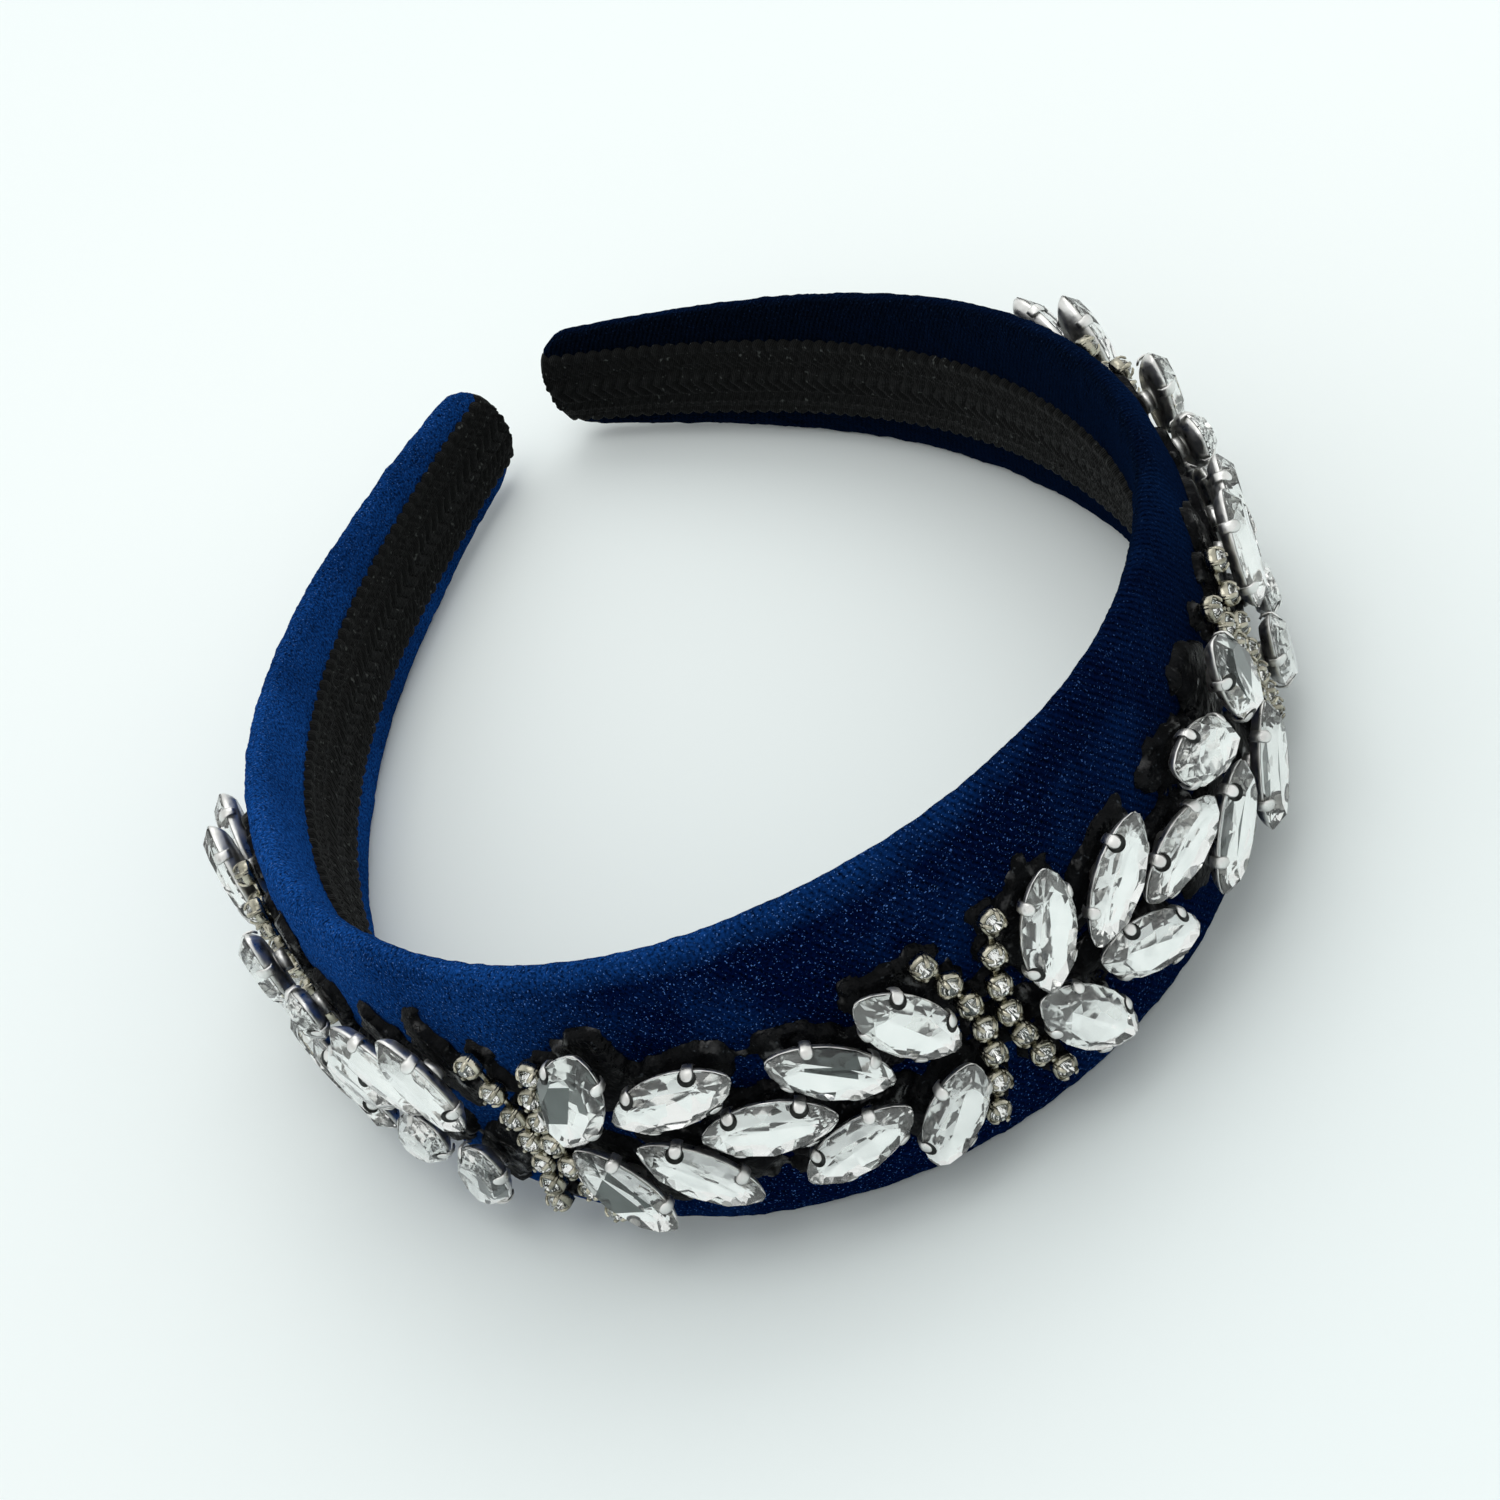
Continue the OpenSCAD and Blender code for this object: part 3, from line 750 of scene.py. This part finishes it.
glassLook = dict(
    clear=(1.0, 1.0, 0.995, 1),
    grey=(0.97, 0.98, 0.975, 1),
    ior=1.5,
    tintScale=300.0,
    roughScale=800.0,
    rough=0.02)
foilLook = dict(
    metallic=0.9,
    bright=(1.0, 1.0, 0.985, 1),
    dull=(0.95, 0.96, 0.945, 1),
    shardScale=520.0,
    lean=0.15,
    tintScale=400.0,
    roughScale=900.0)
# a near-black foil for the painted dark reflections on some facets
paintedReflectionLook = dict(
    metallic=0.8,
    bright=(0.12, 0.14, 0.135, 1),
    dull=(0.07, 0.085, 0.08, 1),
    shardScale=400.0,
    lean=0.05,
    tintScale=250.0,
    roughScale=900.0)
glass = glassMaterial(glassLook)
foil = foilMaterial("foil", foilLook)
paintedReflectionFoil = foilMaterial("shade_foil", paintedReflectionLook)


leafPoint = 1.3   # more is a sharper tip


def leafOutline(long, wide, count, start=0.0):
    # start shifts the points by a share of their step, which blunts the tips
    angle = (np.arange(count) + start) * 2 * np.pi / count
    s = np.sin(angle)
    return np.stack([long / 2 * np.cos(angle), wide / 2 * np.sign(s) * np.abs(s) ** leafPoint], -1)


def roundOutline(wide, count, start=0.0, square=2.0):
    angle = (np.arange(count) + start) * 2 * np.pi / count
    c, s = np.cos(angle), np.sin(angle)
    reach = (np.abs(c) ** square + np.abs(s) ** square) ** (-1 / square)
    return wide / 2 * np.stack([c * reach, s * reach], -1)


def level(outline, z, long=1.0, wide=1.0):
    return np.column_stack([outline[:, 0] * long, outline[:, 1] * wide, np.full(len(outline), z)])


def cutStone(tableOutline, outline, cut, shaded):
    # table, crown and girdle are clear; the facets below are silvered, and a shaded one is dark foil, a
    # painted dark reflection
    count = len(outline)
    half = count // 2
    table = level(tableOutline, cut["crown"], cut["tableLong"], cut["tableWide"])
    upper = level(outline, cut["girdle"] / 2)
    lower = level(outline, -cut["girdle"] / 2)
    reach = cut["keel"] * outline[:, 0].max()
    keel = np.array([[reach, 0, -cut["deep"]], [-reach, 0, -cut["deep"]]])
    points = np.concatenate([table, upper, lower, keel])
    up, low, right, left = half, half + count, half + 2 * count, half + 2 * count + 1
    faces = [list(range(half))]
    for j in range(half):
        before, a, b = up + (2 * j - 1) % count, up + 2 * j, up + 2 * j + 1
        faces += [[j, before, a], [j, a, b], [j, b, (j + 1) % half]]
    for i in range(count):
        n = (i + 1) % count
        faces.append([up + i, low + i, low + n, up + n])
    kinds = [0] * len(faces)
    for i in range(count):
        n = (i + 1) % count
        middle = outline[i, 0] + outline[n, 0]
        if abs(middle) > cut["girdle"]:
            faces.append([low + i, right if middle > 0 else left, low + n])
        elif outline[i, 0] > 0:
            faces.append([low + i, right, left, low + n])
        else:
            faces.append([low + i, left, right, low + n])
        kinds.append(2 if i in shaded else 1)
    return points, faces, kinds


leafCut = dict(crown=1.5, deep=0.7, girdle=0.2, tableLong=0.76, tableWide=0.7, keel=0.42)
roundCut = dict(crown=0.65, deep=0.9, girdle=0.1, tableLong=0.56, tableWide=0.56, keel=0.04)
# most stones have no dark facet, and some have one on one side or two on the other, as painted dark
# reflections
paintedReflectionChoices = ((), (), (), (), (), (11, 12), (), (3,))
pick = np.random.default_rng(14)


def joinParts(parts):
    points, faces, kinds = [], [], []
    count = 0
    for somePoints, someFaces, someKinds in parts:
        points.append(np.asarray(somePoints))
        faces += [[count + i for i in face] for face in someFaces]
        kinds += list(someKinds)
        count += len(somePoints)
    return np.concatenate(points), faces, kinds


def stonesOf(places, cut, sides, isRound):
    parts = []
    for place in places:
        if isRound:
            outline = roundOutline(place["wide"], sides, 0.5)
            table = roundOutline(place["wide"], sides // 2)
            # each round stone gets up to four dark facets at random, as painted dark reflections
            shaded = tuple(pick.integers(sides, size=4))
        else:
            outline = leafOutline(place["long"], place["wide"], sides, 0.5)
            table = leafOutline(place["long"], place["wide"], sides // 2)
            shaded = paintedReflectionChoices[pick.integers(len(paintedReflectionChoices))]
        points, faces, kinds = cutStone(table, outline, cut, shaded)
        parts.append((placed(points, place), faces, kinds))
    return joinParts(parts)


for spray in sprayNames:
    for node, places in leafPlaces[spray].items():
        points, faces, kinds = stonesOf(places, leafCut, 16, False)
        makePiece(node + "_cut", points, faces, [glass, foil, paintedReflectionFoil], [node],
                  smooth=False, kinds=kinds)
print("leaf stones done")


def metalMaterial(name, look):
    material, tree, shader = newMaterial(name, Metallic=1.0)
    tint = useGroup(tree, mottle, Scale=look["tintScale"], Low=0.0, High=1.0)
    tree.links.new(mixColours(tree, tint, look["bright"], look["dull"]), shader.inputs["Base Color"])
    rough = useGroup(tree, mottle, Scale=look["roughScale"], Low=look["smooth"], High=look["rough"])
    tree.links.new(rough, shader.inputs["Roughness"])
    dents = useGroup(tree, mottle, Scale=look["dentScale"], Low=0.0, High=1.0)
    bump = addNode(tree, "ShaderNodeBump", {"Strength": look["bump"], "Distance": 0.0001, "Height": dents})
    tree.links.new(bump.outputs["Normal"], shader.inputs["Normal"])
    return material


settingLook = dict(
    bright=(0.88, 0.88, 0.86, 1),
    dull=(0.62, 0.62, 0.6, 1),
    smooth=0.25,
    rough=0.5,
    tintScale=500.0,
    roughScale=900.0,
    dentScale=700.0,
    bump=0.25)
settingMetal = metalMaterial("setting_metal", settingLook)
# a near-black metal for the painted shadow round the claw tips
paintedClawShadowLook = dict(
    bright=(0.05, 0.052, 0.05, 1),
    dull=(0.015, 0.016, 0.015, 1),
    smooth=0.3,
    rough=0.6,
    tintScale=900.0,
    roughScale=900.0,
    dentScale=900.0,
    bump=0.2)
paintedClawShadow = metalMaterial("paintedClawShadow", paintedClawShadowLook)


def ringLoft(rings, closeStart, closeEnd):
    points = np.concatenate(rings)
    count = len(rings[0])
    faces = gridFaces(len(rings), count, True)[:, ::-1].tolist()
    if closeStart:
        faces.append(list(range(count))[::-1])
    if closeEnd:
        faces.append([(len(rings) - 1) * count + k for k in range(count)])
    return points, faces


def sweep(path, widths, thicks, sideWay, sides=8):
    # a strip of oval section along a bent path
    path = np.asarray(path, float)
    way = np.gradient(path, axis=0)
    way = way / np.linalg.norm(way, axis=1, keepdims=True)
    sideWay = np.asarray(sideWay, float)
    rings = []
    for i in range(len(path)):
        over = np.cross(way[i], sideWay)
        angle = np.linspace(0, 2 * np.pi, sides, endpoint=False)
        rings.append(path[i] + np.outer(np.cos(angle) * widths[i] / 2, sideWay)
                     + np.outer(np.sin(angle) * thicks[i] / 2, over))
    return ringLoft(rings, True, True)


clawShape = dict(
    angles=(58, 122, 238, 302),
    # how far each bend lies outside the girdle, its height above it, and its width and thickness
    bends=((-0.3, -1.3, 1.2, 0.3), (0.1, -0.9, 1.2, 0.3), (0.18, -0.3, 1.3, 0.32), (0.12, 0.1, 1.4, 0.34),
           (-0.04, 0.32, 1.45, 0.34), (-0.22, 0.5, 1.4, 0.34), (-0.42, 0.68, 1.2, 0.3),
           (-0.58, 0.82, 0.8, 0.26), (-0.64, 0.87, 0.35, 0.16)),
    # the painted shadow, a dark line that shows round a claw's tip
    shade=dict(share=0.35, inside=-0.36, high=0.58, wide=2.0, long=1.9, lean=0.8))
cupShape = dict(gap=-0.16, wall=0.14, floor=0.4, rim=-0.14, deep=1.3, sides=24, foot=2.6)


def clawShade(spot, along, outward, shade):
    # a thin dark disc, a painted shadow of the claw, that lies on the crown facet under the claw's tip
    middle = np.array([
        spot[0] + outward[0] * shade["inside"],
        spot[1] + outward[1] * shade["inside"],
        shade["high"]])
    side = np.array([along[0], along[1], 0.0])
    upSlope = np.array([-outward[0], -outward[1], 1.0]) * (math.cos(shade["lean"]), math.cos(shade["lean"]),
                                                           math.sin(shade["lean"]))
    angle = np.linspace(0, 2 * np.pi, 16, endpoint=False)
    ring = (middle + np.outer(np.cos(angle) * shade["wide"] / 2, side)
            + np.outer(np.sin(angle) * shade["long"] / 2, upSlope))
    over = np.cross(side, upSlope) * 0.04
    points, faces = ringLoft([ring, ring + over], True, True)
    return points, faces, [1] * len(faces)


def clawParts(outlineAt, claws):
    parts = []
    for angle in claws["angles"]:
        spot = outlineAt(math.radians(angle))
        ahead = outlineAt(math.radians(angle + 4))
        behind = outlineAt(math.radians(angle - 4))
        along = np.array([ahead[0] - behind[0], ahead[1] - behind[1]])
        along = along / np.linalg.norm(along)
        outward = np.array([along[1], -along[0]])
        path = [(spot[0] + outward[0] * b[0], spot[1] + outward[1] * b[0], b[1]) for b in claws["bends"]]
        points, faces = sweep(path, [b[2] for b in claws["bends"]], [b[3] for b in claws["bends"]],
                              (along[0], along[1], 0.0))
        parts.append((points, faces, [0] * len(faces)))
        if "shade" in claws and pick.random() < claws["shade"]["share"]:
            parts.append(clawShade(spot, along, outward, claws["shade"]))
    return parts


def leafSetting(place):
    long, wide = place["long"], place["wide"]
    def outlineAt(angle):
        s = math.sin(angle)
        return long / 2 * math.cos(angle), wide / 2 * math.copysign(abs(s) ** leafPoint, s)
    grow = 2 * (cupShape["gap"] + cupShape["wall"])
    outer = leafOutline(long + grow, wide + grow, cupShape["sides"])
    inner = leafOutline(long + 2 * cupShape["gap"], wide + 2 * cupShape["gap"], cupShape["sides"])
    low = -(cupShape["deep"] + cupShape["gap"] + cupShape["floor"])
    rings = [level(outer, low, 0.8, 0.7), level(outer, low + 0.35, 0.88, 0.82),
             level(outer, low + 0.8, 0.95, 0.93), level(outer, cupShape["rim"] - 0.1),
             level(outer, cupShape["rim"], 0.99, 0.98),
             level(inner, cupShape["rim"]), level(inner, -0.9, 0.9, 0.8)]
    points, faces = ringLoft(rings, True, False)
    parts = [(points, faces, [0] * len(faces))]
    parts += clawParts(outlineAt, clawShape)
    foot = roundOutline(cupShape["foot"], 12)
    points, faces = ringLoft([level(foot, low - 1.2, 1.1, 1.1), level(foot, low + 0.05)], True, True)
    parts.append((points, faces, [0] * len(faces)))
    points, faces, kinds = joinParts(parts)
    return placed(points, place), faces, kinds


for spray in sprayNames:
    parts = [leafSetting(place) for places in leafPlaces[spray].values() for place in places]
    points, faces, kinds = joinParts(parts)
    makePiece(spray + "_claw_cups", points, faces, [settingMetal, paintedClawShadow],
              [spray + "_settings"], kinds=kinds)
print("claw cups done")


chainLook = dict(
    bright=(0.62, 0.59, 0.48, 1),
    dull=(0.16, 0.155, 0.12, 1),
    smooth=0.12,
    rough=0.32,
    tintScale=600.0,
    roughScale=1200.0,
    dentScale=1500.0,
    bump=0.3)
chainMetal = metalMaterial("chain_metal", chainLook)
roundCup = dict(wide=2.7, gap=0.02, rim=0.02, deep=1.37, sides=16, square=3.0)
prongShape = dict(
    angles=(45, 135, 225, 315),
    bends=((0.3, -1.2, 0.6, 0.3), (0.3, 0.0, 0.62, 0.3), (0.12, 0.42, 0.6, 0.34), (-0.22, 0.74, 0.5, 0.34),
           (-0.42, 0.8, 0.22, 0.16)))


def roundSetting(place):
    wide = place["wide"]
    def outlineAt(angle):
        return wide / 2 * math.cos(angle), wide / 2 * math.sin(angle)
    outer = roundOutline(roundCup["wide"], roundCup["sides"], square=roundCup["square"])
    inner = roundOutline(wide + 2 * roundCup["gap"], roundCup["sides"])
    low = -roundCup["deep"]
    rings = [level(outer, low, 0.8, 0.8), level(outer, low + 0.3), level(outer, roundCup["rim"]),
             level(inner, roundCup["rim"]), level(inner, -0.6, 0.8, 0.8)]
    points, faces = ringLoft(rings, True, False)
    parts = [(points, faces, [0] * len(faces))] + clawParts(outlineAt, prongShape)
    points, faces, kinds = joinParts(parts)
    return placed(points, place), faces, kinds


def chainLinks(places):
    parts = []
    order = sorted(places, key=lambda place: place["middle"][2])
    for a, b in zip(order, order[1:]):
        ends = [place["middle"] - place["axes"][2] * 0.95 for place in (a, b)]
        way = ends[1] - ends[0]
        length = np.linalg.norm(way)
        way = way / length
        side = np.cross(way, a["axes"][2])
        side = side / np.linalg.norm(side)
        path = [ends[0] + way * length * t for t in (0.33, 0.5, 0.67)]
        points, faces = sweep(path, [0.8, 0.7, 0.8], [0.7, 0.6, 0.7], side)
        parts.append((points, faces, [0] * len(faces)))
    return parts


for name in chainNames:
    points, faces, kinds = joinParts([roundSetting(place) for place in roundPlaces[name]]
                                     + chainLinks(roundPlaces[name]))
    makePiece(name + "_cups", points, faces, [chainMetal], [name])
    points, faces, kinds = stonesOf(roundPlaces[name], roundCut, 16, True)
    makePiece(name + "_stones", points, faces, [glass, foil, paintedReflectionFoil], [name],
              smooth=False, kinds=kinds)
print("chains done")


# floor, world and lights
def makeFloor(look):
    mesh = bpy.data.meshes.new("floor")
    s = look["size"]
    mesh.from_pydata([(-s, -s, 0), (s, -s, 0), (s, s, 0), (-s, s, 0)], [], [(0, 1, 2, 3)])
    floor = bpy.data.objects.new("floor", mesh)
    scene.collection.objects.link(floor)
    material, tree, shader = newMaterial("floor", Roughness=0.6, Specular_IOR_Level=0.2)
    tint = useGroup(tree, mottle, Scale=3.0, Low=0.0, High=1.0)
    tree.links.new(mixColours(tree, tint, look["pale"], look["cool"]), shader.inputs["Base Color"])
    mesh.materials.append(material)


makeFloor(dict(size=6.0, pale=(0.83, 0.88, 0.875, 1), cool=(0.8, 0.865, 0.865, 1)))

world = bpy.data.worlds.new("studio")
scene.world = world
world.use_nodes = True
sky = world.node_tree.nodes["Background"]
sky.inputs["Color"].default_value = (0.97, 0.985, 0.98, 1)
sky.inputs["Strength"].default_value = 0.94


def softLight(name, place, target, size, power, colour):
    lamp = bpy.data.lights.new(name, "AREA")
    lamp.shape = "SQUARE"
    lamp.size = size
    lamp.energy = power
    lamp.color = colour
    holder = bpy.data.objects.new(name, lamp)
    holder.location = place
    way = Vector(target) - Vector(place)
    holder.rotation_euler = way.to_track_quat("-Z", "Y").to_euler()
    scene.collection.objects.link(holder)


softLight("window", (0.45, 0.7, 1.1), (0, 0, 0), 0.9, 2.8, (1.0, 0.99, 0.97))
softLight("overhead", (-0.1, -0.3, 1.3), (0, 0, 0), 0.8, 2.5, (1.0, 0.99, 0.98))


def darkCard(name, place, target, size, shade):
    mesh = bpy.data.meshes.new(name)
    s = size / 2
    mesh.from_pydata([(-s, -s, 0), (s, -s, 0), (s, s, 0), (-s, s, 0)], [], [(0, 1, 2, 3)])
    card = bpy.data.objects.new(name, mesh)
    card.location = place
    way = Vector(target) - Vector(place)
    card.rotation_euler = way.to_track_quat("-Z", "Y").to_euler()
    scene.collection.objects.link(card)
    material, tree, shader = newMaterial(name, Roughness=0.9)
    tint = useGroup(tree, mottle, Scale=4.0, Low=0.0, High=1.0)
    pale = (shade * 1.6, shade * 1.6, shade * 1.7, 1)
    tree.links.new(mixColours(tree, tint, (shade, shade, shade, 1), pale), shader.inputs["Base Color"])
    mesh.materials.append(material)


darkCard("dark_card_above", (-0.05, -0.75, 0.85), (0, 0, 0), 0.15, 0.03)
darkCard("dark_card_left", (-0.9, -0.5, 0.4), (0, 0, 0), 0.35, 0.03)

scene.view_settings.view_transform = "Standard"
scene.view_settings.look = "None"
print("stage done")
